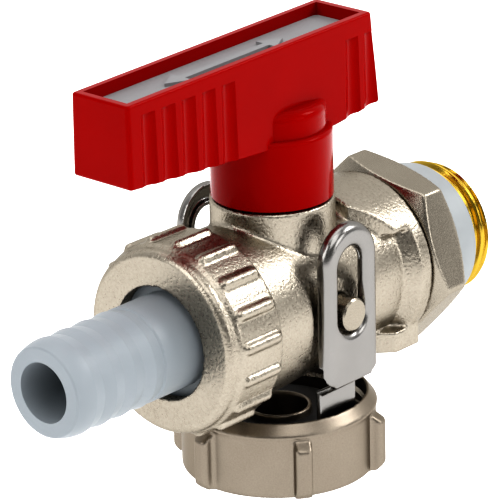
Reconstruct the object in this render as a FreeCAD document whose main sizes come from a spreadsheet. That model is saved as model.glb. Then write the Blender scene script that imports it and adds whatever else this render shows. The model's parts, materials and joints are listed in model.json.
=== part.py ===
import FreeCAD
import Part
import Sketcher
import math
import os
import re

# Drain cock: a fill and drain ball valve with a hose union and a captive cap.
# The flow runs along X from the hose tail to the inlet thread, and Z points up the stem.
# Pieces are drawn about the ball's centre, or about the pins for the strap and cap.
# The part's origin is the centre of the inlet thread's free end.

sizes = {
    # Inlet thread G 1/2, its lock nut and its seal ring
    "inlet_thread_radius": 10.48,
    "inlet_reach": 38.5,
    "inlet_bore_radius": 6.5,
    "inlet_chamfer": 0.9,
    "thread_relief": 0.17,
    "thread_clearance": 0.07,
    "lock_nut_gap": 0.6,
    "lock_nut_thickness": 6.7,
    "lock_nut_half_flats": 13.25,
    "lock_nut_face_radius": 12.75,
    "lock_nut_turn": 18.4,
    "lock_nut_corner": 0.7,
    "seal_ring_gap": 0.1,
    "seal_ring_length": 5.7,
    "seal_ring_wall": 0.5,
    # Valve body
    "collar_end": 20.64,
    "collar_radius": 13.37,
    "collar_thickness": 2.3,
    "barrel_radius": 11.4,
    "shoulder_end": 12.6,
    "barrel_front": 6.6,
    "barrel_front_radius": 13.05,
    "barrel_middle": 1.5,
    "barrel_middle_radius": 12.45,
    "barrel_end": 8.5,
    "side_flat": 5.7,
    "pad_front": 10.2,
    "pad_front_half": 5.6,
    "pad_corner": 15.3,
    "pad_half": 10.7,
    "pad_foot": 11.6,
    "upper_pad_start": 7.5,
    "lower_pad_start": 8.2,
    "neck_radius": 9.25,
    "neck_top": 15.8,
    # Outlet thread G 3/4 with two flats for the strap
    "outlet_reach": 18.0,
    "outlet_thread_radius": 13.15,
    "outlet_bore_radius": 6.0,
    "outlet_chamfer": 0.8,
    "outlet_flat": 10.0,
    "outlet_flat_end": 13.8,
    # Ball, seats and stem
    "ball_radius": 7.6,
    "flow_radius": 4.9,
    "ball_clearance": 0.05,
    "cavity_radius": 7.9,
    "seat_clearance": 0.05,
    "seat_back": 9.0,
    "seat_front_edge": 4.2,
    "stem_radius": 4.4,
    "stem_clearance": 0.06,
    "tang_bottom": 5.6,
    "tang_half_width": 3.2,
    "tang_half_thickness": 1.3,
    "tang_clearance": 0.1,
    "shoulder_bottom": 8.0,
    "shoulder_radius": 5.4,
    "shoulder_top": 9.0,
    "washer_thickness": 0.6,
    "o_ring_wire": 0.68,
    "o_ring_squeeze": 0.02,
    "o_ring_side_gap": 0.24,
    "o_ring_low": 11.3,
    "o_ring_pitch": 2.6,
    "drive_bottom": 16.0,
    "drive_half": 3.0,
    "drive_top": 23.8,
    "drive_clearance": 0.08,
    # Handle
    "lever_grip_end": 35.2,
    "lever_grip_foot": 35.2,
    "lever_short_end": 16.4,
    "lever_short_foot": 18.25,
    "lever_top_half": 5.42,
    "lever_foot_half": 5.7,
    "lever_foot": 24.0,
    "lever_top": 40.26,
    "lever_spare": 1.24,
    "lever_tilt": 1.25,
    "lever_corner": 0.6,
    "lever_edge": 0.4,
    "grip_underside": 27.35,
    "boss_underside": 25.35,
    "short_underside": 26.7,
    "boss_front": 7.0,
    "boss_rear": 8.0,
    "boss_gap": 0.35,
    "boss_radius": 9.05,
    "boss_shoulder": 26.5,
    "boss_round": 0.7,
    "hump_step": 0.25,
    "hump_top": 30.5,
    "hump_round": 1.4,
    "flute_radius": 2.2,
    "flute_depth": 0.45,
    "flute_pitch": 4.1,
    "grip_flute": 31.2,
    "short_flute": 11.9,
    "flute_top": 37.7,
    "rim_wall": 1.2,
    "insert_drop": 1.85,
    "insert_thickness": 1.9,
    "insert_clearance": 0.08,
    "insert_corner": 0.8,
    "ledge_width": 0.9,
    "hollow_floor": 2.2,
    "hollow_from_stem": 9.6,
    "mark_centre": 9.5,
    "mark_half_length": 12.5,
    "mark_half_shaft": 0.6,
    "mark_half_head": 2.0,
    "mark_head": 3.6,
    "mark_height": 0.5,
    "screw_radius": 2.0,
    "screw_clearance": 0.2,
    "screw_seat": 26.8,
    "screw_head_radius": 3.6,
    "screw_head_height": 2.4,
    "screw_length": 10.0,
    "screw_hole_depth": 8.0,
    "hex_socket": 1.6,
    "hex_socket_depth": 1.44,
    # Hose tail, union nut and gasket
    "tail_reach": 48.22,
    "tail_bore_radius": 4.48,
    "tail_shoulder": 31.1,
    "barb_crest_radius": 7.3,
    "barb_root_radius": 7.0,
    "barb_pitch": 4.0,
    "barb_back": 1.9,
    "barb_arc": 8.0,
    "nose_radius": 6.75,
    "nose_round": 0.35,
    "nose_arc": 0.4,
    "shank_radius": 7.2,
    "shank_slope": 0.3,
    "tail_flange_radius": 12.5,
    "tail_flange_thickness": 2.4,
    "tail_gasket_thickness": 2.0,
    "tail_gasket_bore": 5.6,
    "union_wall": 2.25,
    "union_hole_radius": 8.53,
    "union_length": 10.9,
    "union_rim_wall": 1.15,
    "union_face_inset": 1.4,
    "union_lip": 1.1,
    "union_lip_arc": 1.32,
    "union_lip_land": 0.66,
    "union_lip_rise": 0.55,
    "union_groove": 0.45,
    "union_edge": 0.4,
    "union_slack": 0.12,
    "rib_round": 0.9,
    "rib_sink": 0.1,
    "rib_margin": 0.55,
    "union_rib_front": 2.5,
    "union_phase": 3.3,
    # Pins, strap and cap, measured from the pins' axis
    "pin_ahead": 1.2,
    "pin_radius": 2.5,
    "pin_end": 14.7,
    "pin_depth": 2.3,
    "pin_clearance": 0.05,
    "pin_chamfer": 0.25,
    "strap_thickness": 0.9,
    "strap_edge": 0.1,
    "strap_bend": 0.4,
    "strap_aside": 0.7,
    "arm_face": 15.2,
    "arm_half_width": 5.75,
    "arm_top": 14.0,
    "arm_bottom": 10.5,
    "arm_corner": 2.2,
    "flange_depth": 2.1,
    "flange_wall": 0.8,
    "flange_end": 7.3,
    "arm_round": 0.85,
    "slot_half_width": 2.75,
    "slot_low": 0.15,
    "slot_high": 7.6,
    "slot_bead": 0.75,
    "slot_collar": 0.9,
    "slot_round": 0.75,
    "tongue_face": 11.9,
    "tongue_half_width": 3.95,
    "tongue_top": 12.4,
    "base_radius": 9.3,
    "base_clearance": 0.27,
    "cap_floor": 22.2,
    "cap_bottom": 27.25,
    "cap_radius": 14.85,
    "cap_rim": 15.54,
    "cap_rim_edge": 17.35,
    "cap_rim_land": 0.15,
    "cap_rim_lip": 0.3,
    "cap_step": 0.2,
    "cap_round": 0.6,
    "cap_turn": 4.7,
    "cap_slack": 0.1,
    "spigot_radius": 5.03,
    "spigot_wall": 0.65,
    "spigot_top": 17.94,
    "spigot_depth": 24.0,
    "cap_rib_radius": 16.45,
    "cap_rib_half_width": 1.3,
    "cap_rib_round": 0.8,
    "cap_rib_bevel": 1.2,
    "cap_rib_foot": 1.1,
    "cap_rib_lift": 0.15,
    "cap_rib_drop": 0.7,
    "cap_gasket_clearance": 0.03,
    "cap_gasket_radius": 9.8,
    "cap_gasket_thickness": 2.0,
}

union_rib_count = 18
cap_rib_count = 6
barb_count = 4
grip_flute_count = 5
short_flute_count = 2

doc = FreeCAD.newDocument("drain_cock")
sheet = doc.addObject("Spreadsheet::Sheet", "Sizes")
for row, (alias, size) in enumerate(sizes.items(), start=1):
    sheet.set(f"A{row}", alias)
    sheet.set(f"B{row}", str(size))
    sheet.setAlias(f"B{row}", alias)
doc.recompute()


def sized(text):
    return re.sub(r"[a-z][a-z_]*", lambda word: ("Sizes." if word[0] in sizes else "") + word[0], text)


def number(text):
    return float(sheet.evalExpression(text))


def bind(thing, prop, text):
    thing.setExpression(prop, sized(text))


def new_body(label, ahead="0", aside="0"):
    body = doc.addObject("PartDesign::Body", label)
    bind(body, "Placement.Base.x", f"{ahead} - inlet_reach")
    bind(body, "Placement.Base.y", aside)
    return body


def tilted(body, axis, angle):
    body.Placement.Rotation = FreeCAD.Rotation(FreeCAD.Vector(*axis), number(angle))
    bind(body, "Placement.Rotation.Angle", angle)


def origin_feature(body, role):
    return next(feature for feature in body.Origin.OriginFeatures if feature.Role == role)


def new_sketch(body, name, plane, offset="0"):
    sketch = body.newObject("Sketcher::SketchObject", name)
    sketch.AttachmentSupport = [(origin_feature(body, plane), "")]
    sketch.MapMode = "FlatFace"
    bind(sketch, "AttachmentOffset.Base.z", offset)
    return sketch


def hold(sketch, kind, text, *places):
    index = sketch.addConstraint(Sketcher.Constraint(kind, *places, number(text)))
    bind(sketch, f"Constraints[{index}]", text)


def arc_between(start, end, radius):
    # A positive radius turns to the left on the way from start to end.
    chord = end - start
    left = FreeCAD.Vector(-chord.y, chord.x, 0).normalize()
    rise = math.sqrt(max(radius ** 2 - (chord.Length / 2) ** 2, 0))
    centre = (start + end) / 2 + left * math.copysign(rise, radius)
    first, last = (start, end) if radius > 0 else (end, start)
    angles = [math.atan2(point.y - centre.y, point.x - centre.x) for point in (first, last)]
    if angles[1] < angles[0]:
        angles[1] += 2 * math.pi
    circle = Part.Circle(centre, FreeCAD.Vector(0, 0, 1), abs(radius))
    return Part.ArcOfCircle(circle, *angles)


def draw(sketch, corners):
    # Each corner is (across, up), or (across, up, radius) where an arc leads to the next corner.
    places = [FreeCAD.Vector(number(corner[0]), number(corner[1]), 0) for corner in corners]
    ends = []
    for index, corner in enumerate(corners):
        start, end = places[index], places[(index + 1) % len(places)]
        if len(corner) == 2:
            geometry = sketch.addGeometry(Part.LineSegment(start, end), False)
            ends.append((geometry, 1, 2))
            continue
        radius = number(corner[2])
        geometry = sketch.addGeometry(arc_between(start, end, radius), False)
        ends.append((geometry, 1, 2) if radius > 0 else (geometry, 2, 1))
    for index, corner in enumerate(corners):
        geometry, first, last = ends[index]
        before = ends[index - 1]
        sketch.addConstraint(Sketcher.Constraint("Coincident", before[0], before[2], geometry, first))
        hold(sketch, "DistanceX", corner[0], -1, 1, geometry, first)
        hold(sketch, "DistanceY", corner[1], -1, 1, geometry, first)
        if len(corner) == 3:
            hold(sketch, "Radius", f"abs({corner[2]})", geometry)


def draw_circle(sketch, radius, across="0", up="0"):
    centre = FreeCAD.Vector(number(across), number(up), 0)
    circle = Part.Circle(centre, FreeCAD.Vector(0, 0, 1), number(radius))
    geometry = sketch.addGeometry(circle, False)
    hold(sketch, "DistanceX", across, -1, 1, geometry, 3)
    hold(sketch, "DistanceY", up, -1, 1, geometry, 3)
    hold(sketch, "Radius", radius, geometry)


def outline(body, name, plane, corners, offset="0"):
    sketch = new_sketch(body, name, plane, offset)
    draw(sketch, corners)
    return sketch


def circle_outline(body, name, plane, radius, offset="0"):
    sketch = new_sketch(body, name, plane, offset)
    draw_circle(sketch, radius)
    return sketch


def pad(body, name, sketch, length, cut=False, both=False, back=False):
    before = body.Shape.Volume if body.Tip else 0
    feature = body.newObject("PartDesign::Pocket" if cut else "PartDesign::Pad", name)
    feature.Profile = sketch
    feature.SideType = "Symmetric" if both else "One side"
    feature.Reversed = back
    bind(feature, "Length", length)
    return finished(body, feature, before, cut)


def turn(body, name, corners, axis="H_Axis", cut=False):
    before = body.Shape.Volume if body.Tip else 0
    sketch = outline(body, f"{name}_profile", "XZ_Plane", corners)
    feature = body.newObject("PartDesign::Groove" if cut else "PartDesign::Revolution", name)
    feature.Profile = sketch
    feature.ReferenceAxis = (sketch, [axis])
    feature.Angle = 360
    return finished(body, feature, before, cut)


def finished(body, feature, before, cut):
    doc.recompute()
    change = body.Shape.Volume - before
    if change == 0 or (change < 0) != cut:
        raise ValueError(f"{body.Label}: {feature.Label} changed the volume by {change:.3f}")
    return feature


def round_edges(body, name, edges, radius):
    base = body.Tip
    feature = body.newObject("PartDesign::Fillet", name)
    feature.Base = (base, edges)
    bind(feature, "Radius", radius)
    doc.recompute()
    return feature


def edges_where(body, test):
    return [f"Edge{index}" for index, edge in enumerate(body.Tip.Shape.Edges, start=1) if test(edge)]


def repeat_around(body, name, feature, axis, count):
    pattern = body.newObject("PartDesign::PolarPattern", name)
    pattern.Originals = [feature]
    pattern.Axis = (origin_feature(body, axis), [""])
    pattern.Angle = 360
    pattern.Occurrences = count
    body.Tip = pattern
    doc.recompute()
    return pattern


def stadium(half, low, high):
    return [
        (half, low), (half, high, half), ("0", f"{high} + {half}", half),
        (f"-{half}", high), (f"-{half}", low, half), ("0", f"{low} - {half}", half),
    ]


def rounded(start, end, half, radius):
    # A rectangle along X with rounded corners, its sides at plus and minus half
    return [
        (f"{start} + {radius}", f"-({half})"), (f"{end} - {radius}", f"-({half})", radius),
        (end, f"-({half}) + {radius}"), (end, f"{half} - {radius}", radius),
        (f"{end} - {radius}", half), (f"{start} + {radius}", half, radius),
        (start, f"{half} - {radius}"), (start, f"-({half}) + {radius}", radius),
    ]


def make_valve_body():
    body = new_body("valve_body")
    rise = "collar_radius - barrel_radius"
    turn(body, "forging", [
        ("-outlet_reach", "0"),
        ("-outlet_reach", "outlet_thread_radius - outlet_chamfer"),
        ("-outlet_reach + outlet_chamfer", "outlet_thread_radius"),
        ("-shoulder_end", "outlet_thread_radius"),
        ("-barrel_front", "barrel_front_radius"),
        ("barrel_middle", "barrel_middle_radius"),
        ("barrel_end", "barrel_radius"),
        (f"collar_end - collar_thickness - ({rise})", "barrel_radius"),
        ("collar_end - collar_thickness", "collar_radius"),
        ("collar_end", "collar_radius"),
        ("collar_end", "0"),
    ])
    pad(body, "neck", circle_outline(body, "neck_plan", "XY_Plane", "neck_radius"), "neck_top")
    # Flats on either side of the barrel, where the strap's arms lie
    sides = new_sketch(body, "sides_plan", "XY_Plane")
    for side in ("", "-"):
        draw(sides, [
            ("-side_flat", f"{side}barrel_radius"), ("barrel_end", f"{side}barrel_radius"),
            ("barrel_end", f"{side}2 * barrel_radius"), ("-side_flat", f"{side}2 * barrel_radius"),
        ])
    pad(body, "sides", sides, "4 * barrel_radius", cut=True, both=True)
    # Wrench pads, wedge shaped in plan: the upper one is turned with the collar, the lower one is flat
    plan = wedge("collar_end - collar_thickness")
    upper = outline(body, "upper_plan", "XY_Plane", plan, offset="upper_pad_start")
    pad(body, "upper_pad", upper, "2 * collar_radius")
    turn(body, "upper_trim", [
        ("(pad_front + neck_radius) / 2", "collar_radius"), ("collar_end", "collar_radius"),
        ("collar_end", "3 * collar_radius"), ("(pad_front + neck_radius) / 2", "3 * collar_radius"),
    ], cut=True)
    lower = outline(body, "lower_plan", "XY_Plane", wedge("collar_end"), offset="-lower_pad_start")
    pad(body, "lower_pad", lower, "pad_foot - lower_pad_start", back=True)
    # Bores along the flow: outlet, ball chamber and the nipple's thread
    turn(body, "flow_bore", [
        ("-outlet_reach", "0"),
        ("-outlet_reach", "outlet_bore_radius"),
        ("-seat_back", "outlet_bore_radius"),
        ("-seat_back", "cavity_radius"),
        ("seat_back", "cavity_radius"),
        ("seat_back", "inlet_thread_radius - thread_relief + thread_clearance"),
        ("collar_end", "inlet_thread_radius - thread_relief + thread_clearance"),
        ("collar_end", "0"),
    ], cut=True)
    turn(body, "stem_bore", [
        ("0", "0"),
        ("shoulder_radius + 2 * stem_clearance", "0"),
        ("shoulder_radius + 2 * stem_clearance", "shoulder_top + washer_thickness"),
        ("stem_radius + stem_clearance", "shoulder_top + washer_thickness"),
        ("stem_radius + stem_clearance", "neck_top"),
        ("0", "neck_top"),
    ], axis="V_Axis", cut=True)
    # Flats at the sides of the outlet thread, where the strap's tongues pass
    flats = new_sketch(body, "flats_plan", "XY_Plane")
    for side in ("", "-"):
        draw(flats, [
            ("-outlet_reach", f"{side}outlet_flat"),
            ("-outlet_flat_end", f"{side}outlet_flat"),
            ("-outlet_flat_end", f"{side}2 * outlet_flat"),
            ("-outlet_reach", f"{side}2 * outlet_flat"),
        ])
    pad(body, "flats", flats, "4 * outlet_flat", cut=True, both=True)
    for name, back in (("pin_hole_near", False), ("pin_hole_far", True)):
        offset = "barrel_radius - pin_depth"
        sketch = new_sketch(body, f"{name}_plan", "XZ_Plane", f"-({offset})" if back else offset)
        draw_circle(sketch, "pin_radius + pin_clearance", across="pin_ahead")
        pad(body, name, sketch, "2 * pin_depth", cut=True, back=not back)
    return body


def wedge(end):
    # A wrench pad's plan, which widens towards its square end
    return [
        ("pad_front", "-pad_front_half"), ("pad_corner", "-pad_half"), (end, "-pad_half"),
        (end, "pad_half"), ("pad_corner", "pad_half"), ("pad_front", "pad_front_half"),
    ]


def make_inlet_nipple():
    body = new_body("inlet_nipple")
    # The thread is a little slacker below the lock nut's travel than at its free end
    free_start = "collar_end + lock_nut_gap + lock_nut_thickness + 2 * seal_ring_gap + seal_ring_length"
    turn(body, "nipple", [
        ("seat_back", "inlet_bore_radius"),
        ("seat_back", "inlet_thread_radius - thread_relief"),
        (free_start, "inlet_thread_radius - thread_relief"),
        (free_start, "inlet_thread_radius"),
        ("inlet_reach - inlet_chamfer", "inlet_thread_radius"),
        ("inlet_reach", "inlet_thread_radius - inlet_chamfer"),
        ("inlet_reach", "inlet_bore_radius"),
    ])
    return body


def make_lock_nut():
    body = new_body("lock_nut")
    start = "collar_end + lock_nut_gap"
    corners = []
    for corner in range(6):
        angle = f"(lock_nut_turn + {60 * corner})"
        across = f"lock_nut_half_flats / cos(30) * sin({angle})"
        corners.append((across, f"lock_nut_half_flats / cos(30) * cos({angle})"))
    plan = outline(body, "hexagon", "YZ_Plane", corners, offset=start)
    pad(body, "nut", plan, "lock_nut_thickness")
    upright = edges_where(body, lambda edge: edge.BoundBox.XLength > number("lock_nut_thickness") / 2)
    round_edges(body, "corners", upright, "lock_nut_corner")
    bore_radius = "inlet_thread_radius - thread_relief + thread_clearance"
    bore = circle_outline(body, "bore_plan", "YZ_Plane", bore_radius, start)
    pad(body, "bore", bore, "lock_nut_thickness", cut=True, back=True)
    end = f"{start} + lock_nut_thickness"
    beyond = "2 * lock_nut_half_flats"
    lift = f"({beyond} - lock_nut_face_radius) * tan(30)"
    for name, face, sign in (("front_chamfer", start, "+"), ("rear_chamfer", end, "-")):
        turn(body, name, [
            (face, "lock_nut_face_radius"), (face, beyond), (f"{face} {sign} {lift}", beyond),
        ], cut=True)
    return body


def make_seal_ring():
    body = new_body("seal_ring")
    start = "collar_end + lock_nut_gap + lock_nut_thickness + seal_ring_gap"
    inner = "inlet_thread_radius + thread_clearance"
    turn(body, "ring", [
        (start, inner),
        (start, f"{inner} + seal_ring_wall"),
        (f"{start} + seal_ring_length", f"{inner} + seal_ring_wall"),
        (f"{start} + seal_ring_length", inner),
    ])
    return body


def make_ball():
    body = new_body("ball")
    sphere = body.newObject("PartDesign::AdditiveSphere", "sphere")
    bind(sphere, "Radius", "ball_radius")
    doc.recompute()
    bore = circle_outline(body, "bore_plan", "YZ_Plane", "flow_radius")
    pad(body, "bore", bore, "3 * ball_radius", cut=True, both=True)
    half, thick = "tang_half_width + tang_clearance", "tang_half_thickness + tang_clearance"
    slot = outline(body, "slot_plan", "XY_Plane", [
        (f"-({thick})", f"-({half}) * 2"), (thick, f"-({half}) * 2"),
        (thick, f"({half}) * 2"), (f"-({thick})", f"({half}) * 2"),
    ], offset="tang_bottom - tang_clearance")
    pad(body, "slot", slot, "ball_radius", cut=True, back=True)
    return body


def make_seat(label, side):
    body = new_body(label)
    turn(body, "ring", [
        (f"{side}(seat_back - seat_clearance)", "flow_radius"),
        (f"{side}(seat_back - seat_clearance)", "cavity_radius - seat_clearance"),
        (f"{side}seat_front_edge", "cavity_radius - seat_clearance"),
        (f"{side}seat_front_edge", "flow_radius"),
    ])
    hollow = body.newObject("PartDesign::SubtractiveSphere", "ball_face")
    bind(hollow, "Radius", "ball_radius + ball_clearance")
    doc.recompute()
    return body


def make_stem():
    body = new_body("stem")
    groove = "stem_radius - 2 * o_ring_wire"
    side = "(o_ring_wire + o_ring_side_gap)"
    corners = [
        ("0", "shoulder_bottom"),
        ("shoulder_radius", "shoulder_bottom"),
        ("shoulder_radius", "shoulder_top"),
        ("stem_radius", "shoulder_top"),
    ]
    for level in ("o_ring_low", "o_ring_low + o_ring_pitch"):
        corners += [
            ("stem_radius", f"{level} - {side}"), (groove, f"{level} - {side}"),
            (groove, f"{level} + {side}"), ("stem_radius", f"{level} + {side}"),
        ]
    corners += [("stem_radius", "drive_bottom"), ("0", "drive_bottom")]
    turn(body, "shaft", corners, axis="V_Axis")
    tang = outline(body, "tang_plan", "XY_Plane", [
        ("-tang_half_thickness", "-tang_half_width"), ("tang_half_thickness", "-tang_half_width"),
        ("tang_half_thickness", "tang_half_width"), ("-tang_half_thickness", "tang_half_width"),
    ], offset="tang_bottom")
    pad(body, "tang", tang, "shoulder_bottom - tang_bottom")
    drive = outline(body, "drive_plan", "XY_Plane", [
        ("-drive_half", "-drive_half"), ("drive_half", "-drive_half"),
        ("drive_half", "drive_half"), ("-drive_half", "drive_half"),
    ], offset="drive_bottom")
    pad(body, "drive", drive, "drive_top - drive_bottom")
    hole = circle_outline(body, "screw_hole_plan", "XY_Plane", "screw_radius", offset="drive_top")
    pad(body, "screw_hole", hole, "screw_hole_depth", cut=True)
    return body


def make_stem_washer():
    body = new_body("stem_washer")
    top = "shoulder_top + washer_thickness - stem_clearance"
    turn(body, "washer", [
        ("stem_radius + stem_clearance", "shoulder_top"),
        ("shoulder_radius", "shoulder_top"),
        ("shoulder_radius", top),
        ("stem_radius + stem_clearance", top),
    ], axis="V_Axis")
    return body


def make_o_ring(label, level):
    ring = doc.addObject("Part::Torus", label)
    bind(ring, "Radius1", "stem_radius - o_ring_wire + o_ring_squeeze")
    bind(ring, "Radius2", "o_ring_wire")
    bind(ring, "Placement.Base.x", "-inlet_reach")
    bind(ring, "Placement.Base.z", level)
    return ring


def rim_line(x, drop="0"):
    # Height of the lever's top, which falls towards the grip end, less a drop
    return f"lever_top + ({x}) * tan(lever_tilt) - ({drop})"


def make_handle():
    body = new_body("handle")
    levels = (
        ("foot", "lever_foot", "lever_grip_foot", "lever_short_foot", "lever_foot_half"),
        ("head", "lever_top + lever_spare", "lever_grip_end", "lever_short_end", "lever_top_half"),
    )
    sections = [
        outline(body, f"{name}_section", "XY_Plane", rounded(f"-{grip}", short, half, "lever_corner"), level)
        for name, level, grip, short, half in levels
    ]
    lever = body.newObject("PartDesign::AdditiveLoft", "lever")
    lever.Profile = sections[0]
    lever.Sections = [sections[1]]
    lever.Ruled = True
    doc.recompute()
    far = "2 * lever_grip_end"
    top = outline(body, "top_side", "XZ_Plane", [
        (f"-({far})", rim_line(f"-({far})")), (far, rim_line(far)),
        (far, "2 * lever_top"), (f"-({far})", "2 * lever_top"),
    ])
    pad(body, "top_slope", top, "4 * lever_foot_half", cut=True, both=True)
    under = outline(body, "under_side", "XZ_Plane", [
        ("-lever_grip_end - lever_spare", "lever_foot - lever_spare"),
        ("lever_short_foot + lever_spare", "lever_foot - lever_spare"),
        ("lever_short_foot + lever_spare", "short_underside"), ("boss_rear", "boss_underside"),
        ("-boss_front", "boss_underside"), ("-lever_grip_end - lever_spare", "grip_underside"),
    ])
    pad(body, "under_slope", under, "4 * lever_foot_half", cut=True, both=True)
    under_edges = edges_where(body, lambda edge: edge.BoundBox.ZMax < number("grip_underside") + 0.5)
    round_edges(body, "under_edges", long_ones(body, under_edges), "lever_edge")
    top_edges = edges_where(body, lambda edge: edge.BoundBox.ZMin > number("lever_top") - 1.5)
    round_edges(body, "top_edges", top_edges, "lever_edge")
    flutes = new_sketch(body, "flutes_plan", "XY_Plane", offset="boss_underside - lever_spare")
    reach = "lever_top_half - flute_depth + flute_radius"
    starts = [f"-grip_flute + {step} * flute_pitch" for step in range(grip_flute_count)]
    starts += [f"short_flute + {step} * flute_pitch" for step in range(short_flute_count)]
    for start in starts:
        for side in ("", "-"):
            draw_circle(flutes, "flute_radius", across=start, up=f"{side}({reach})")
    pad(body, "flutes", flutes, "flute_top - boss_underside + lever_spare", cut=True, back=True)
    hump = "(boss_radius - boss_round - hump_step)"
    turn(body, "boss", [
        ("0", "neck_top + boss_gap"),
        ("boss_radius", "neck_top + boss_gap"),
        ("boss_radius", "boss_shoulder - boss_round", "boss_round"),
        ("boss_radius - boss_round", "boss_shoulder"),
        (hump, "boss_shoulder"),
        (hump, "hump_top - hump_round", "hump_round"),
        (f"{hump} - hump_round", "hump_top"),
        ("0", "hump_top"),
    ], axis="V_Axis")
    # The seat of the insert, then the hollows below it on either side of the boss
    grip, short = "lever_grip_end - rim_wall", "lever_short_end - rim_wall"
    seat_depth = "insert_drop + insert_thickness"
    seat = outline(body, "seat_side", "XZ_Plane", [
        (f"-({grip})", rim_line(f"-({grip})", seat_depth)), (short, rim_line(short, seat_depth)),
        (short, "lever_top + lever_spare"), (f"-({grip})", "lever_top + lever_spare"),
    ])
    pad(body, "insert_seat", seat, "2 * (lever_top_half - rim_wall)", cut=True, both=True)
    hollows = new_sketch(body, "hollows_side", "XZ_Plane")
    draw(hollows, [
        (f"-({grip}) + ledge_width", "grip_underside + hollow_floor"),
        ("-hollow_from_stem", "boss_underside + hollow_floor"),
        ("-hollow_from_stem", "lever_top + lever_spare"),
        (f"-({grip}) + ledge_width", "lever_top + lever_spare"),
    ])
    draw(hollows, [
        ("hollow_from_stem", "short_underside + hollow_floor"),
        (f"{short} - ledge_width", "short_underside + hollow_floor"),
        (f"{short} - ledge_width", "lever_top + lever_spare"),
        ("hollow_from_stem", "lever_top + lever_spare"),
    ])
    pad(body, "hollows", hollows, "2 * (lever_top_half - rim_wall - ledge_width)", cut=True, both=True)
    side = "drive_half + drive_clearance"
    socket = outline(body, "socket_plan", "XY_Plane", [
        (f"-({side})", f"-({side})"), (side, f"-({side})"), (side, side), (f"-({side})", side),
    ], offset="neck_top")
    pad(body, "socket", socket, "drive_top + drive_clearance - neck_top", cut=True, back=True)
    hole = circle_outline(body, "screw_hole_plan", "XY_Plane", "screw_radius + screw_clearance", "neck_top")
    pad(body, "screw_hole", hole, "hump_top", cut=True, back=True)
    well = "screw_head_radius + screw_clearance"
    pad(body, "screw_well", circle_outline(body, "well_plan", "XY_Plane", well, "screw_seat"),
        "lever_top + lever_spare - screw_seat", cut=True, back=True)
    return body


def long_ones(body, names):
    edges = body.Tip.Shape.Edges
    return [name for name in names if edges[int(name[4:]) - 1].Length > 2 * number("lever_corner")]


def make_handle_insert():
    body = new_body("handle_insert")
    bind(body, "Placement.Base.z", "lever_top - insert_drop - insert_thickness")
    tilted(body, (0, -1, 0), "lever_tilt")
    half = "lever_top_half - rim_wall - insert_clearance"
    grip = "(lever_grip_end - rim_wall) / cos(lever_tilt) - insert_clearance"
    short = "(lever_short_end - rim_wall) / cos(lever_tilt) - 2 * insert_clearance"
    plan = outline(body, "plate_plan", "XY_Plane", rounded(f"-({grip})", short, half, "insert_corner"))
    pad(body, "plate", plan, "insert_thickness")
    # A raised double arrow that shows the flow line when the valve is open
    tips = [f"-mark_centre {sign} mark_half_length" for sign in ("-", "+")]
    barbs = [f"-mark_centre {sign} (mark_half_length - mark_head)" for sign in ("-", "+")]
    mark = outline(body, "mark_plan", "XY_Plane", [
        (tips[0], "0"), (barbs[0], "-mark_half_head"), (barbs[0], "-mark_half_shaft"),
        (barbs[1], "-mark_half_shaft"), (barbs[1], "-mark_half_head"), (tips[1], "0"),
        (barbs[1], "mark_half_head"), (barbs[1], "mark_half_shaft"),
        (barbs[0], "mark_half_shaft"), (barbs[0], "mark_half_head"),
    ], offset="insert_thickness")
    pad(body, "mark", mark, "mark_height")
    return body


def make_handle_screw():
    body = new_body("handle_screw")
    top = "screw_seat + screw_head_height"
    turn(body, "screw", [
        ("0", "screw_seat - screw_length"),
        ("screw_radius - thread_clearance", "screw_seat - screw_length"),
        ("screw_radius - thread_clearance", "screw_seat"),
        ("screw_head_radius", "screw_seat"),
        ("screw_head_radius", top),
        ("0", top),
    ], axis="V_Axis")
    corners = [(f"hex_socket / cos(30) * sin({60 * step})", f"hex_socket / cos(30) * cos({60 * step})")
               for step in range(6)]
    pad(body, "hex_socket", outline(body, "hex_plan", "XY_Plane", corners, offset=top),
        "hex_socket_depth", cut=True)
    return body


def make_hose_tail():
    body = new_body("hose_tail")
    inner_end = "outlet_reach + tail_gasket_thickness"
    corners = [
        ("-tail_reach", "tail_bore_radius"),
        ("-tail_reach", "nose_radius - nose_round", "-nose_arc"),
        ("-tail_reach + nose_round", "nose_radius", "-barb_arc"),
    ]
    for barb in range(barb_count, 0, -1):
        root = f"-(tail_shoulder + {barb - 1} * barb_pitch)"
        corners.append((f"{root} - barb_back", "barb_crest_radius"))
        corners.append((root, "barb_root_radius"))
    corners += [
        ("-tail_shoulder + shank_slope", "shank_radius"),
        (f"-({inner_end} + tail_flange_thickness)", "shank_radius"),
        (f"-({inner_end} + tail_flange_thickness)", "tail_flange_radius"),
        (f"-({inner_end})", "tail_flange_radius"),
        (f"-({inner_end})", "tail_bore_radius"),
    ]
    turn(body, "tail", corners)
    return body


def make_tail_gasket():
    body = new_body("tail_gasket")
    turn(body, "gasket", [
        ("-outlet_reach - tail_gasket_thickness", "tail_gasket_bore"),
        ("-outlet_reach - tail_gasket_thickness", "tail_flange_radius"),
        ("-outlet_reach", "tail_flange_radius"),
        ("-outlet_reach", "tail_gasket_bore"),
    ])
    return body


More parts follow.
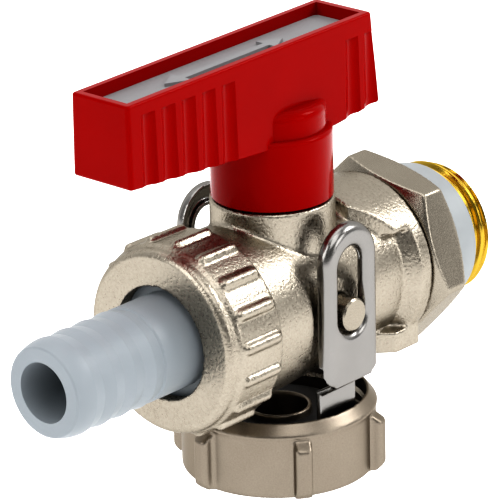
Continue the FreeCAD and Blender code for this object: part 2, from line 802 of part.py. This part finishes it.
def make_union_nut():
    body = new_body("union_nut")
    tilted(body, (1, 0, 0), "union_phase")
    seat = "outlet_reach + tail_gasket_thickness + tail_flange_thickness + union_slack"
    front = f"({seat} + union_wall)"
    back = f"({front} - union_length)"
    bore = "outlet_thread_radius + thread_clearance"
    rim = "(outlet_thread_radius + union_rim_wall)"
    turn(body, "nut", [
        (f"-{front}", "union_hole_radius"),
        (f"-{front}", f"{rim} - union_face_inset", "-union_lip_arc"),
        (f"-{front} + union_lip", f"{rim} - union_groove"),
        (f"-{front} + union_lip + union_lip_land", f"{rim} - union_groove"),
        (f"-{front} + union_lip + union_lip_land + union_lip_rise", rim),
        (f"-{back} - union_edge", rim),
        (f"-{back}", f"{rim} - union_edge"),
        (f"-{back}", bore),
        (f"-({seat})", bore),
        (f"-({seat})", "union_hole_radius"),
    ])
    axis_height = f"{rim} - rib_sink"
    start, end = f"-{front} + union_rib_front", f"-{back} - rib_margin"
    sketch = new_sketch(body, "rib_profile", "XZ_Plane")
    draw(sketch, [
        (start, axis_height, "-rib_round"),
        (f"{start} + rib_round", f"{axis_height} + rib_round"),
        (f"{end} - rib_round", f"{axis_height} + rib_round", "-rib_round"),
        (end, axis_height),
    ])
    rib_axis = Part.LineSegment(*(FreeCAD.Vector(number(x), number(axis_height), 0) for x in (start, end)))
    sketch.addGeometry(rib_axis, True)
    for place, x in ((1, start), (2, end)):
        hold(sketch, "DistanceX", x, -1, 1, 4, place)
        hold(sketch, "DistanceY", axis_height, -1, 1, 4, place)
    rib = body.newObject("PartDesign::Revolution", "rib")
    rib.Profile = sketch
    rib.ReferenceAxis = (sketch, ["Axis0"])
    rib.Angle = 360
    doc.recompute()
    repeat_around(body, "ribs", rib, "X_Axis", union_rib_count)
    return body


def make_pin(label, side, end):
    pin = new_body(label, "pin_ahead")
    inner, outer = "barrel_radius - pin_depth + pin_clearance", end
    sketch = outline(pin, "pin_profile", "XY_Plane", [
        ("0", f"{side}({inner})"), ("pin_radius", f"{side}({inner})"),
        ("pin_radius", f"{side}({outer} - pin_chamfer)"),
        ("pin_radius - pin_chamfer", f"{side}{outer}"), ("0", f"{side}{outer}"),
    ])
    feature = pin.newObject("PartDesign::Revolution", "pin")
    feature.Profile = sketch
    feature.ReferenceAxis = (sketch, ["V_Axis"])
    feature.Angle = 360
    doc.recompute()
    return pin


def make_cap_strap():
    body = new_body("cap_strap", "pin_ahead", "strap_aside")
    # The arm is a shallow pressed pan with its edges turned in towards the valve
    half, crown = "arm_half_width", "(arm_top - arm_half_width)"
    arm = outline(body, "arm_side", "XZ_Plane", [
        ("-arm_half_width + arm_corner", "-arm_bottom"),
        ("arm_half_width - arm_corner", "-arm_bottom", "arm_corner"),
        (half, "-arm_bottom + arm_corner"), (half, crown, half), ("0", "arm_top", half),
        (f"-{half}", crown), (f"-{half}", "-arm_bottom + arm_corner", "arm_corner"),
    ], offset="arm_face")
    pad(body, "arm", arm, "flange_depth", back=True)
    inner = "(arm_half_width - flange_wall)"
    pan = outline(body, "pan_side", "XZ_Plane", [
        (f"-2 * {half}", "-2 * arm_bottom"), (f"2 * {half}", "-2 * arm_bottom"),
        (f"2 * {half}", "-flange_end"), (inner, "-flange_end"), (inner, crown, inner),
        ("0", f"{crown} + {inner}", inner), (f"-{inner}", crown), (f"-{inner}", "-flange_end"),
        (f"-2 * {half}", "-flange_end"),
    ], offset="arm_face - strap_thickness")
    pad(body, "pan", pan, "flange_depth", cut=True)
    rim = edges_where(body, lambda edge: edge.BoundBox.YMax < -number("arm_face") + 0.01)
    round_edges(body, "arm_edges", rim, "arm_round")
    # The slot for the pin, with a collar drawn inwards round it
    collar_plan = stadium("(slot_half_width + slot_bead)", "-slot_low", "slot_high")
    collar = outline(body, "collar_side", "XZ_Plane", collar_plan, offset="arm_face - strap_thickness")
    pad(body, "collar", collar, "slot_collar", back=True)
    slot_plan = stadium("slot_half_width", "-slot_low", "slot_high")
    slot = outline(body, "slot_side", "XZ_Plane", slot_plan, offset="arm_face")
    pad(body, "slot", slot, "2 * flange_depth", cut=True)
    reach = "(slot_half_width + slot_high)"
    mouth = edges_where(body, lambda edge: slot_mouth(edge, number(reach)))
    round_edges(body, "slot_edges", mouth, "slot_round")
    # The strip runs from the arm inside the cap's mouth to the base on its floor
    floor = "(cap_floor - cap_slack)"
    base_top = f"({floor} - strap_thickness)"
    foot, bend = "(arm_bottom - strap_edge)", "strap_bend"
    strip = outline(body, "strip_side", "YZ_Plane", [
        ("0", f"-{floor}"), ("-tongue_face", f"-{floor}"), ("-tongue_face", "-tongue_top"),
        ("-arm_face", f"-{foot}"), ("-arm_face", "-flange_end - arm_corner"),
        ("-arm_face + strap_thickness", "-flange_end - arm_corner"),
        ("-arm_face + strap_thickness", f"-{foot} + {bend}"),
        ("-tongue_face + strap_thickness", f"-tongue_top + {bend}"),
        ("-tongue_face + strap_thickness", f"-{base_top}"), ("0", f"-{base_top}"),
    ])
    pad(body, "strip", strip, "2 * tongue_half_width", both=True)
    disc = circle_outline(body, "base_plan", "XY_Plane", "base_radius", offset=f"-{floor}")
    pad(body, "base", disc, "strap_thickness")
    eye = circle_outline(body, "eye_plan", "XY_Plane", "spigot_radius + base_clearance", f"-{base_top}")
    pad(body, "eye", eye, "strap_thickness", cut=True)
    halves = body.newObject("PartDesign::Mirrored", "both_arms")
    halves.TransformMode = "Whole shape"
    halves.MirrorPlane = (origin_feature(body, "XZ_Plane"), [""])
    body.Tip = halves
    doc.recompute()
    return body


def slot_mouth(edge, reach):
    # The outline of the slot on the arm's outer face
    box = edge.BoundBox
    inside = box.XMax < number("slot_half_width") + 0.01 and box.ZMax < reach + 0.01
    return box.YMax < -number("arm_face") + 0.01 and inside and box.ZMin > -number("flange_end")


def make_cap():
    body = new_body("cap", "pin_ahead", "strap_aside")
    tilted(body, (0, 0, -1), "cap_turn")
    bore = "(outlet_thread_radius + thread_clearance)"
    well = "(spigot_radius - spigot_wall)"
    wall = "(cap_radius - cap_step)"
    turn(body, "cup", [
        ("0", "-cap_bottom"), (f"{wall} - cap_round", "-cap_bottom", "cap_round"),
        (wall, "-cap_bottom + cap_round"), (wall, "-cap_rim_edge - cap_rim_lip - cap_step"),
        ("cap_radius", "-cap_rim_edge - cap_rim_lip"), ("cap_radius", "-cap_rim_edge"),
        (f"{bore} + cap_rim_land", "-cap_rim"), (bore, "-cap_rim"), (bore, "-cap_floor"),
        ("spigot_radius", "-cap_floor"), ("spigot_radius", "-spigot_top"), (well, "-spigot_top"),
        (well, "-spigot_depth"), ("0", "-spigot_depth"),
    ], axis="V_Axis")
    inside, wide = f"({wall} - cap_round)", "cap_rib_half_width"
    rib_plan = outline(body, "rib_plan", "XY_Plane", [
        (inside, f"-{wide}"), ("cap_rib_radius - cap_rib_round", f"-{wide}", "cap_rib_round"),
        ("cap_rib_radius", f"-{wide} + cap_rib_round"),
        ("cap_rib_radius", f"{wide} - cap_rib_round", "cap_rib_round"),
        ("cap_rib_radius - cap_rib_round", wide), (inside, wide),
    ], offset="-cap_bottom + cap_rib_lift")
    rib = pad(body, "rib", rib_plan, "cap_bottom - cap_rib_lift - cap_rim_edge - cap_rib_drop")
    repeat_around(body, "ribs", rib, "Z_Axis", cap_rib_count)
    high, low = "-cap_rim_edge - cap_rib_drop", "-cap_bottom + cap_rib_lift"
    turn(body, "rib_tops", [
        (wall, high), (f"2 * {wall}", high),
        (f"2 * {wall}", f"{high} - cap_rib_bevel * {wall} / (cap_rib_radius - {wall})"),
    ], axis="V_Axis", cut=True)
    turn(body, "rib_feet", [
        ("cap_rib_radius - cap_rib_foot", low), (f"2 * {wall}", low),
        (f"2 * {wall}", f"{low} + 2 * {wall} - cap_rib_radius + cap_rib_foot"),
    ], axis="V_Axis", cut=True)
    return body


def make_cap_gasket():
    body = new_body("cap_gasket", "pin_ahead", "strap_aside")
    low = "-(cap_floor - strap_thickness - 2 * cap_slack)"
    bore = "spigot_radius + cap_gasket_clearance"
    turn(body, "gasket", [
        (bore, low), ("cap_gasket_radius", low),
        ("cap_gasket_radius", f"{low} + cap_gasket_thickness"), (bore, f"{low} + cap_gasket_thickness"),
    ], axis="V_Axis")
    return body


pieces = [
    make_valve_body(), make_inlet_nipple(), make_lock_nut(), make_seal_ring(),
    make_ball(), make_seat("seat_front", "-"), make_seat("seat_rear", ""),
    make_stem(), make_stem_washer(),
    make_o_ring("stem_o_ring_lower", "o_ring_low"),
    make_o_ring("stem_o_ring_upper", "o_ring_low + o_ring_pitch"),
    make_handle(), make_handle_insert(), make_handle_screw(),
    make_hose_tail(), make_tail_gasket(), make_union_nut(),
    make_pin("pivot_pin_near", "-", "pin_end"), make_pin("pivot_pin_far", "", "(pin_end + 2 * strap_aside)"),
    make_cap_strap(), make_cap(), make_cap_gasket(),
]
doc.recompute()

for thing in doc.Objects:
    if "Invalid" in thing.State or "Error" in thing.State:
        raise ValueError(f"{thing.Label} is in state {thing.State}")
os.makedirs("parts", exist_ok=True)
for piece in pieces:
    shape = piece.Shape
    if shape.isNull() or not shape.isValid() or len(shape.Solids) != 1:
        raise ValueError(f"{piece.Label} has no single valid solid")
    shape.exportStep(f"parts/{piece.Label}.step")
    box = shape.BoundBox
    print(f"{piece.Label}: {shape.Volume:.1f} mm3, x {box.XMin:.2f} {box.XMax:.2f}, "
          f"y {box.YMin:.2f} {box.YMax:.2f}, z {box.ZMin:.2f} {box.ZMax:.2f}")
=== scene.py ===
import bpy
import json
import math
from mathutils import Matrix, Vector


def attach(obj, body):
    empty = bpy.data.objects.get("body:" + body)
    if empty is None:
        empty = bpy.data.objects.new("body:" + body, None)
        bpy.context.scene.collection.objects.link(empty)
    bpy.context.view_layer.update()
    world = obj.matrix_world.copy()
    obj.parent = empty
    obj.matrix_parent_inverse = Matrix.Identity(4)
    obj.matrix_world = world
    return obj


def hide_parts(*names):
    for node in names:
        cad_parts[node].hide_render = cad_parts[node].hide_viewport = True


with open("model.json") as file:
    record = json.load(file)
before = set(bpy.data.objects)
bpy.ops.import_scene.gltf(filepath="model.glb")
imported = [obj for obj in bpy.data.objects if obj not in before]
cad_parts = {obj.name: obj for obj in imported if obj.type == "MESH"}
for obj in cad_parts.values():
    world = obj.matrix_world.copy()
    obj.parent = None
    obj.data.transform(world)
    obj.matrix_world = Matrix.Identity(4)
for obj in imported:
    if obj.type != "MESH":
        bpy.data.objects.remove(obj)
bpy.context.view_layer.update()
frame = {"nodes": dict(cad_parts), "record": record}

print("frame loaded:", len(frame["nodes"]), "solids")
mm = 0.001


class Wire:
    # One output socket, with arithmetic that adds Math nodes
    def __init__(self, finish, socket):
        self.finish = finish
        self.socket = socket

    def join(self, operation, first, second):
        return self.finish.add("ShaderNodeMath", {"operation": operation}, {0: first, 1: second})

    def __add__(self, other):
        return self.join("ADD", self, other)

    def __radd__(self, other):
        return self.join("ADD", other, self)

    def __sub__(self, other):
        return self.join("SUBTRACT", self, other)

    def __rsub__(self, other):
        return self.join("SUBTRACT", other, self)

    def __mul__(self, other):
        return self.join("MULTIPLY", self, other)

    def __rmul__(self, other):
        return self.join("MULTIPLY", other, self)


allWays = (1, 1, 1)
turned = (1, 0.02, 0.02)  # fine rings round the flow's axis


class Finish:
    # The nodes of one material, or of the sky
    def __init__(self, owner, coordinates="Object"):
        self.owner = owner
        owner.use_nodes = True
        self.tree = owner.node_tree
        self.tree.nodes.clear()
        self.place = self.add("ShaderNodeTexCoord", {}, {}, coordinates)

    def add(self, kind, settings, sockets, output=0):
        node = self.tree.nodes.new(kind)
        for key, value in settings.items():
            setattr(node, key, value)
        for key, value in sockets.items():
            socket = node.inputs[key]
            if isinstance(value, Wire):
                self.tree.links.new(value.socket, socket)
            elif isinstance(value, tuple) and len(value) < len(socket.default_value):
                socket.default_value = (*value, 1)  # an opaque colour
            else:
                socket.default_value = value
        return Wire(self, node.outputs[output]) if output is not None else None

    def noise(self, size, detail, stretch=allWays):
        where = self.place
        if stretch != allWays:
            where = self.add("ShaderNodeVectorMath", {"operation": "MULTIPLY"}, {0: where, 1: stretch})
        return self.add("ShaderNodeTexNoise", {}, {"Vector": where, "Scale": 1 / size, "Detail": detail})

    def blend(self, factor, first, second):
        return self.add("ShaderNodeMix", {"data_type": "RGBA"}, {0: factor, 6: first, 7: second}, 2)

    def bump(self, height, depth):
        return self.add("ShaderNodeBump", {}, {"Height": height, "Distance": depth, "Strength": 1})

    def surface(self, sockets):
        shader = self.add("ShaderNodeBsdfPrincipled", {}, sockets)
        self.add("ShaderNodeOutputMaterial", {}, {"Surface": shader}, None)
        return self.owner


noiseMean = 0.5
glancing = (0.62, 0.6, 0.57)  # how much of the light the metals keep at a flat angle

# cloud and grain are sizes in mm, bump is a depth in mm
metals = {
    "blasted_nickel": {
        "name": "blastedNickel", "dark": (0.22, 0.194, 0.156), "light": (0.4, 0.363, 0.305),
        "cloud": 6, "cloudShade": 0.5, "grain": 0.42, "grainShade": 0.9, "stretch": allWays,
        "rough": 0.3, "roughSpread": 0.25, "roughCloud": 0.1, "bump": 0.085},
    "satin_nickel": {
        "name": "satinNickel", "dark": (0.22, 0.194, 0.158), "light": (0.33, 0.3, 0.25),
        "cloud": 7, "cloudShade": 0.6, "grain": 0.22, "grainShade": 0.7, "stretch": allWays,
        "rough": 0.27, "roughSpread": 0.15, "roughCloud": 0.08, "bump": 0.025},
    "dull_nickel": {
        "name": "dullNickel", "dark": (0.168, 0.141, 0.112), "light": (0.263, 0.23, 0.187),
        "cloud": 7, "cloudShade": 0.6, "grain": 0.22, "grainShade": 0.8, "stretch": allWays,
        "rough": 0.37, "roughSpread": 0.12, "roughCloud": 0.08, "bump": 0.02},
    "stainless": {
        "name": "satinStainless", "dark": (0.195, 0.189, 0.181), "light": (0.25, 0.242, 0.232),
        "cloud": 6, "cloudShade": 0.8, "grain": 0.2, "grainShade": 0.5, "stretch": allWays,
        "rough": 0.24, "roughSpread": 0.1, "roughCloud": 0.08, "bump": 0.006},
    "bare_brass": {
        "name": "turnedBrass", "dark": (0.36, 0.235, 0.026), "light": (0.56, 0.39, 0.068),
        "cloud": 5, "cloudShade": 0.6, "grain": 0.15, "grainShade": 0.8, "stretch": turned,
        "rough": 0.18, "roughSpread": 0.12, "roughCloud": 0.1, "bump": 0.01},
    "chromed_ball": {
        "name": "polishedChrome", "dark": (0.55, 0.55, 0.55), "light": (0.65, 0.65, 0.65),
        "cloud": 8, "cloudShade": 0.6, "grain": 0.5, "grainShade": 0.2, "stretch": allWays,
        "rough": 0.08, "roughSpread": 0.04, "roughCloud": 0.04, "bump": 0.002},
}
metalDetail = {"cloud": 4, "grain": 3}


def metal(v):
    finish = Finish(bpy.data.materials.new(v["name"]))
    clouds = finish.noise(v["cloud"] * mm, metalDetail["cloud"]) - noiseMean
    height = finish.noise(v["grain"] * mm, metalDetail["grain"], v["stretch"])
    grain = height - noiseMean
    tone = noiseMean + clouds * v["cloudShade"] + grain * v["grainShade"]
    return finish.surface({
        "Base Color": finish.blend(tone, v["dark"], v["light"]),
        "Metallic": 1,
        "Roughness": v["rough"] + grain * v["roughSpread"] + clouds * v["roughCloud"],
        "Normal": finish.bump(height, v["bump"] * mm),
        "Specular Tint": glancing})


plainGloss = (1, 1, 1)
plastics = {
    "red_plastic": {
        "name": "redPlastic", "dark": (0.2, 0, 0), "light": (0.245, 0, 0), "cloud": 12, "grain": 0.6,
        "rough": 0.14, "roughSpread": 0.06, "bump": 0.003, "ior": 1.5, "specular": 0.06,
        "gloss": (1, 0.2, 0.18)},
    "grey_plastic": {
        "name": "greyPlastic", "dark": (0.172, 0.172, 0.176), "light": (0.203, 0.203, 0.207), "cloud": 9,
        "grain": 0.4, "rough": 0.5, "roughSpread": 0.1, "bump": 0.008, "ior": 1.48, "specular": 0.35,
        "gloss": plainGloss},
    "blue_grey_plastic": {
        "name": "blueGreyPlastic", "dark": (0.21, 0.234, 0.252), "light": (0.242, 0.264, 0.284), "cloud": 9,
        "grain": 0.4, "rough": 0.42, "roughSpread": 0.1, "bump": 0.006, "ior": 1.48, "specular": 0.35,
        "gloss": plainGloss},
    "white_ptfe": {
        "name": "whiteRing", "dark": (0.235, 0.25, 0.258), "light": (0.297, 0.311, 0.318), "cloud": 5,
        "grain": 0.4, "rough": 0.45, "roughSpread": 0.1, "bump": 0.01, "ior": 1.38, "specular": 0.4,
        "gloss": plainGloss},
    "black_rubber": {
        "name": "blackRubber", "dark": (0.012, 0.012, 0.012), "light": (0.02, 0.02, 0.021), "cloud": 5,
        "grain": 0.3, "rough": 0.6, "roughSpread": 0.1, "bump": 0.01, "ior": 1.5, "specular": 0.4,
        "gloss": plainGloss},
}
plasticDetail = {"cloud": 3, "grain": 2}


def plastic(v):
    finish = Finish(bpy.data.materials.new(v["name"]))
    clouds = finish.noise(v["cloud"] * mm, plasticDetail["cloud"])
    height = finish.noise(v["grain"] * mm, plasticDetail["grain"])
    return finish.surface({
        "Base Color": finish.blend(clouds, v["dark"], v["light"]),
        "Roughness": v["rough"] + (height - noiseMean) * v["roughSpread"],
        "Normal": finish.bump(height, v["bump"] * mm),
        "IOR": v["ior"],
        "Specular IOR Level": v["specular"],
        "Specular Tint": v["gloss"]})


finishes = {slot: metal(v) for slot, v in metals.items()}
finishes |= {slot: plastic(v) for slot, v in plastics.items()}
slots = {row["node"]: row["material_slot"] for row in frame["record"]["subparts"]}
for node, solid in frame["nodes"].items():
    solid.data.materials.clear()
    solid.data.materials.append(finishes[slots[node]])
print("finishes:", len(finishes))

bodies = frame["record"]["behaviour"]["bodies"]
carrier = {node: body for body, nodes in bodies.items() for node in nodes}


def newPiece(name, mesh, node, instead=True, finish=None):
    # A piece that stands for one of the solids, or is added to it, in that solid's finish or another
    piece = bpy.data.objects.new(name, mesh)
    bpy.context.scene.collection.objects.link(piece)
    mesh.materials.clear()
    mesh.materials.append(finishes[finish or slots[node]])
    if instead:
        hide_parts(node)
    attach(piece, carrier[node])
    return piece


def shadeSmooth(mesh):
    mesh.polygons.foreach_set("use_smooth", [True] * len(mesh.polygons))


def keepInside(mesh, solid):
    # No point leaves the box of the solid
    low = [min(corner[axis] for corner in solid.bound_box) for axis in range(3)]
    high = [max(corner[axis] for corner in solid.bound_box) for axis in range(3)]
    for point in mesh.vertices:
        point.co = [min(max(place, a), b) for place, a, b in zip(point.co, low, high)]


def softened(node, v):
    # A solid's copy with soft, slightly uneven edges
    solid = frame["nodes"][node]
    draft = bpy.data.objects.new(v["name"] + "Draft", solid.data.copy())
    bpy.context.scene.collection.objects.link(draft)
    grid = draft.modifiers.new("grid", "REMESH")
    grid.mode = "VOXEL"
    grid.voxel_size = v["voxel"] * mm
    smooth = draft.modifiers.new("smooth", "SMOOTH")
    smooth.factor = v["smooth"]
    smooth.iterations = v["passes"]
    graph = bpy.context.evaluated_depsgraph_get()
    mesh = bpy.data.meshes.new_from_object(draft.evaluated_get(graph))
    bpy.data.objects.remove(draft)
    mesh.name = v["name"]
    shadeSmooth(mesh)
    if "shape" in v:
        v["shape"](mesh)
    keepInside(mesh, solid)
    return newPiece(v["name"], mesh, node, finish=v.get("finish"))


strapMiddle = (-37.3, 0.7)  # x and y of the pins, the strap and the cap
pressing = {"face": 15.2, "halfWidth": 5.75, "crown": 8.25, "bottom": -10.5, "edge": 1.4,
            "slotHalfWidth": 2.75, "slotLow": -0.15, "slotHigh": 7.6, "lip": 1.3}


def rolled(distance, radius):
    # How far a rolled edge drops at a distance from its outline
    inside = min(radius, max(0, radius - distance))
    return radius - math.sqrt(radius * radius - inside * inside)


def pressArms(mesh):
    # Rolls over the arms' outer edges and the lips of their slots
    v = pressing
    for point in mesh.vertices:
        across = point.co.x / mm - strapMiddle[0]
        out = point.co.y / mm - strapMiddle[1]
        up = point.co.z / mm
        if up < v["bottom"] or abs(out) < v["face"] - v["edge"]:
            continue
        toEdge = v["halfWidth"] - math.hypot(across, max(0, up - v["crown"]))
        pastSlot = max(0, up - v["slotHigh"], v["slotLow"] - up)
        toSlot = math.hypot(across, pastSlot) - v["slotHalfWidth"]
        drop = max(rolled(toEdge, v["edge"]), rolled(toSlot, v["lip"]))
        level = min(abs(out), v["face"] - drop)
        point.co.y = (strapMiddle[1] + math.copysign(level, out)) * mm


softBodies = {
    "valve_body": {"name": "forgedBody", "voxel": 0.3, "smooth": 0.5, "passes": 3},
    "union_nut": {"name": "forgedUnion", "voxel": 0.25, "smooth": 0.5, "passes": 3,
                  "finish": "blasted_nickel"},
    "lock_nut": {"name": "turnedNut", "voxel": 0.22, "smooth": 0.5, "passes": 12},
    "cap": {"name": "forgedCap", "voxel": 0.28, "smooth": 0.5, "passes": 4, "finish": "dull_nickel"},
    "cap_strap": {"name": "pressedStrap", "voxel": 0.2, "smooth": 0.5, "passes": 4, "shape": pressArms},
}
for node, v in softBodies.items():
    soft = softened(node, v)
    print("softened", node, len(soft.data.polygons), "faces")


threadPitch = 1.814
nipple = {"start": -29.5, "threadStart": -17.86, "freeStart": -4.66, "crest": 10.48, "covered": 10.31,
          "bore": 6.5, "chamfer": 0.9, "depth": 0.95, "flank": 2.6, "rootFlat": 0.25, "sharp": 50,
          "columns": 120, "step": 0.12}


def threadRadius(x, turn, v):
    crest = v["crest"] if x > v["freeStart"] else v["covered"]
    if x < v["threadStart"]:
        return crest
    across = ((x - threadPitch * turn / math.tau) / threadPitch) % 1
    rise = min(1, max(0, abs(across - 0.5) * v["flank"] - v["rootFlat"]))
    rise = rise * rise * (3 - 2 * rise)  # rounds the root and the crest
    fade = min(1, (x - v["threadStart"]) / threadPitch)
    return min(crest - v["depth"] * (1 - rise) * fade, v["crest"] - v["chamfer"] - x)


def threadedNipple(v):
    rows = [v["start"], v["threadStart"]]
    while rows[-1] < -v["step"]:
        rows.append(rows[-1] + v["step"])
    rows[-1] = 0
    wide = v["columns"]
    turns = [math.tau * column / wide for column in range(wide)]
    rings = [[(x, threadRadius(x, turn, v), turn) for turn in turns] for x in rows]
    rings.append([(0, v["bore"], turn) for turn in turns])
    rings.append([(v["start"], v["bore"], turn) for turn in turns])
    points = []
    for ring in rings:
        points += [(x * mm, r * mm * math.sin(turn), r * mm * math.cos(turn)) for x, r, turn in ring]
    faces = []
    for row in range(len(rings)):
        here, ahead = row * wide, (row + 1) % len(rings) * wide
        for column in range(wide):
            side = (column + 1) % wide
            faces.append((here + column, here + side, ahead + side, ahead + column))
    mesh = bpy.data.meshes.new("threadedNipple")
    mesh.from_pydata(points, [], faces)
    shadeSmooth(mesh)
    mesh.set_sharp_from_angle(angle=math.radians(v["sharp"]))
    return newPiece("threadedNipple", mesh, "inlet_nipple")


print("nipple:", len(threadedNipple(nipple).data.polygons), "faces")


capThread = {"top": -16.9, "root": 13.4, "depth": 0.6, "halfBase": 0.75, "turns": 2, "columns": 120,
             "fadeColumns": 14}


def threadInCap(v):
    # A three-cornered ridge that runs down the wall and fades out at both ends
    last = v["turns"] * v["columns"]
    points, faces = [], []
    for step in range(last + 1):
        turn = math.tau * step / v["columns"]
        height = v["top"] - threadPitch * step / v["columns"]
        fade = min(1, (step + 1) / v["fadeColumns"], (last + 1 - step) / v["fadeColumns"])
        crest = v["root"] - v["depth"] * fade
        for radius, rise in ((v["root"], v["halfBase"]), (crest, 0), (v["root"], -v["halfBase"])):
            x = strapMiddle[0] + radius * math.cos(turn)
            y = strapMiddle[1] + radius * math.sin(turn)
            points.append((x * mm, y * mm, (height + rise * fade) * mm))
    corners = 3
    for step in range(last):
        here, ahead = corners * step, corners * (step + 1)
        for corner in range(corners):
            after = (corner + 1) % corners
            faces.append((here + corner, ahead + corner, ahead + after, here + after))
    end = corners * last
    faces += [(0, 1, 2), (end + 2, end + 1, end)]
    mesh = bpy.data.meshes.new("threadInCap")
    mesh.from_pydata(points, [], faces)
    return newPiece("threadInCap", mesh, "cap", instead=False)


print("cap thread:", len(threadInCap(capThread).data.polygons), "faces")


camera = {"target": (-43.577, 0, 8.475), "azimuth": 47.559, "elevation": 20.793, "roll": -1.289,
          "distance": 546.64, "lens": 269.63, "sensor": 36, "clipStart": 0.05, "clipEnd": 20}


def placeCamera(v):
    lens = bpy.data.cameras.new("photoLens")
    lens.sensor_width = v["sensor"]
    lens.lens = v["lens"]
    lens.clip_start = v["clipStart"]
    lens.clip_end = v["clipEnd"]
    view = bpy.data.objects.new("photoCamera", lens)
    bpy.context.scene.collection.objects.link(view)
    turn, rise, roll = (math.radians(v[key]) for key in ("azimuth", "elevation", "roll"))
    ahead = Vector((math.cos(rise) * math.sin(turn), math.cos(rise) * math.cos(turn), -math.sin(rise)))
    level = Vector((math.cos(turn), -math.sin(turn), 0))
    upright = level.cross(ahead)
    right = level * math.cos(roll) + upright * math.sin(roll)
    up = upright * math.cos(roll) - level * math.sin(roll)
    place = Vector(v["target"]) * mm - ahead * v["distance"] * mm
    view.matrix_world = Matrix((
        (right.x, up.x, -ahead.x, place.x),
        (right.y, up.y, -ahead.y, place.y),
        (right.z, up.z, -ahead.z, place.z),
        (0, 0, 0, 1)))
    bpy.context.scene.camera = view


placeCamera(camera)
print("camera placed")


floorPaint = {"height": -0.042, "size": 6, "color": (0.9, 0.9, 0.9), "shade": 0.985, "cloud": 0.4,
              "detail": 2, "rough": 0.9, "specular": 0.1, "glow": 0.5}


def layFloor(v):
    bpy.ops.mesh.primitive_plane_add(size=v["size"], location=(0, 0, v["height"]))
    floor = bpy.context.object
    floor.name = "studioFloor"
    paint = Finish(bpy.data.materials.new("floorPaint"))
    shaded = tuple(v["shade"] * part for part in v["color"])
    tone = paint.blend(paint.noise(v["cloud"], v["detail"]), shaded, v["color"])
    floor.data.materials.append(paint.surface({
        "Base Color": tone, "Roughness": v["rough"], "Specular IOR Level": v["specular"],
        "Emission Color": tone, "Emission Strength": v["glow"]}))


sweep = {"color": (1, 1, 1), "back": 1, "front": 0.2, "backWay": (0.738, 0.675, 0), "edges": (-0.35, 0.55)}


def hangSweep(v):
    # White behind the object, a dim room in front of it
    world = bpy.data.worlds.new("studioSky")
    sky = Finish(world, "Generated")
    behind = sky.add("ShaderNodeVectorMath", {"operation": "DOT_PRODUCT"},
                     {0: sky.place, 1: v["backWay"]}, "Value")
    low, high = v["edges"]
    share = sky.add("ShaderNodeMapRange", {"interpolation_type": "SMOOTHSTEP"},
                    {"Value": behind, "From Min": low, "From Max": high, "To Min": v["front"],
                     "To Max": v["back"]})
    glow = sky.add("ShaderNodeBackground", {}, {"Color": v["color"], "Strength": share})
    sky.add("ShaderNodeOutputWorld", {}, {"Surface": glow}, None)
    bpy.context.scene.world = world


lampAim = (-0.04, 0, 0.01)
softBoxes = {
    "topBox": {"place": (-0.1, 0.1, 0.75), "size": (0.6, 0.6), "power": 1.8},
    "keyBox": {"place": (-0.2, -0.3, 0.52), "size": (0.4, 0.4), "power": 1.2},
    "frontBox": {"place": (0.1, -0.58, 0.2), "size": (0.26, 0.26), "power": 0.7},
    "rightBox": {"place": (0.37, -0.34, 0.43), "size": (0.24, 0.24), "power": 1.8},
    "leftBox": {"place": (-0.55, 0.1, 0.3), "size": (0.3, 0.4), "power": 1.3},
}


def hangSoftBox(name, v):
    light = bpy.data.lights.new(name, "AREA")
    light.shape = "RECTANGLE"
    light.size, light.size_y = v["size"]
    light.energy = v["power"]
    lamp = bpy.data.objects.new(name, light)
    lamp.location = v["place"]
    lamp.rotation_euler = (Vector(lampAim) - lamp.location).to_track_quat("-Z", "Y").to_euler()
    bpy.context.scene.collection.objects.link(lamp)


layFloor(floorPaint)
hangSweep(sweep)
for name, v in softBoxes.items():
    hangSoftBox(name, v)
bpy.context.scene.view_settings.view_transform = "Standard"
bpy.context.scene.view_settings.look = "High Contrast"
print("studio:", len(softBoxes), "soft boxes")

print("scene ready")
